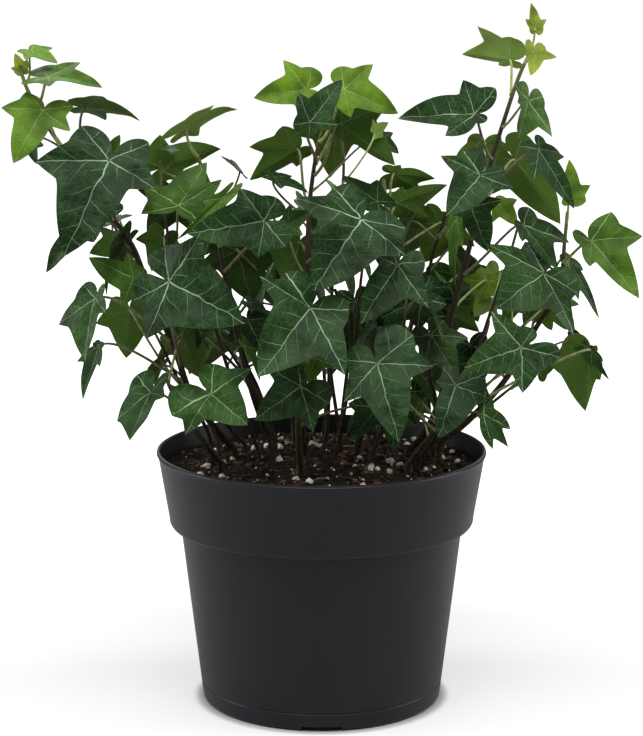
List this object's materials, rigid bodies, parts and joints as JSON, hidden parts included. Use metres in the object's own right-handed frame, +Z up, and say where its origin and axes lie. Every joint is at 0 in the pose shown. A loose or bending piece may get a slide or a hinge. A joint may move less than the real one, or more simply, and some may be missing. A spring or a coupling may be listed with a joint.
{
  "type": "potted ivy",
  "caption": "Bushy potted ivy: pointed lobed leaves with pale veins on thin stems, rooted in dark potting mix in a charcoal plastic nursery pot with a deep collar.",
  "frame": {"origin": "middle of the pot's flat underside, on the pot's axis", "axes": "+Z up along the pot's axis; -Y is the front, where one drain groove shows; +X is to the right"},
  "size_m": [0.2835, 0.1747, 0.3215],
  "materials": {
    "pot_plastic": "charcoal moulded plastic with a soft satin sheen",
    "potting_mix": "dark loose peat with bark bits and white perlite",
    "stem_bark": "thin brown-purple woody stems, green at their tips",
    "leaf": "leathery dark green leaves with pale veins, lighter and duller underneath"
  },
  "bodies": {
    "root": {"pot": "pot_plastic", "soil": "potting_mix", "left_stem": "stem_bark", "inner_left_stem": "stem_bark", "centre_stem": "stem_bark", "inner_right_stem": "stem_bark", "right_stem": "stem_bark", "far_right_stem": "stem_bark", "low_left_stem": "stem_bark", "front_stem": "stem_bark", "low_right_stem": "stem_bark", "back_left_stem": "stem_bark", "back_right_stem": "stem_bark", "left_leaf_01": "leaf", "left_leaf_02": "leaf", "left_leaf_03": "leaf", "left_leaf_04": "leaf", "left_leaf_05": "leaf", "left_leaf_06": "leaf", "left_leaf_07": "leaf", "inner_left_leaf_01": "leaf", "inner_left_leaf_02": "leaf", "inner_left_leaf_03": "leaf", "inner_left_leaf_04": "leaf", "centre_leaf_01": "leaf", "centre_leaf_02": "leaf", "centre_leaf_03": "leaf", "centre_leaf_04": "leaf", "centre_leaf_05": "leaf", "centre_leaf_06": "leaf", "inner_right_leaf_01": "leaf", "inner_right_leaf_02": "leaf", "right_leaf_01": "leaf", "right_leaf_02": "leaf", "right_leaf_03": "leaf", "right_leaf_04": "leaf", "right_leaf_05": "leaf", "right_leaf_06": "leaf", "right_leaf_07": "leaf", "right_leaf_08": "leaf", "right_leaf_09": "leaf", "far_right_leaf_01": "leaf", "far_right_leaf_02": "leaf", "far_right_leaf_03": "leaf", "far_right_leaf_04": "leaf", "far_right_leaf_05": "leaf", "low_left_leaf_01": "leaf", "low_left_leaf_02": "leaf", "front_leaf_01": "leaf", "front_leaf_02": "leaf", "low_right_leaf_01": "leaf", "low_right_leaf_02": "leaf", "low_right_leaf_03": "leaf", "back_left_leaf_01": "leaf", "back_left_leaf_02": "leaf", "back_left_leaf_03": "leaf", "back_right_leaf_01": "leaf", "back_right_leaf_02": "leaf", "back_right_leaf_03": "leaf", "back_right_leaf_04": "leaf"}
  },
  "joints": []
}
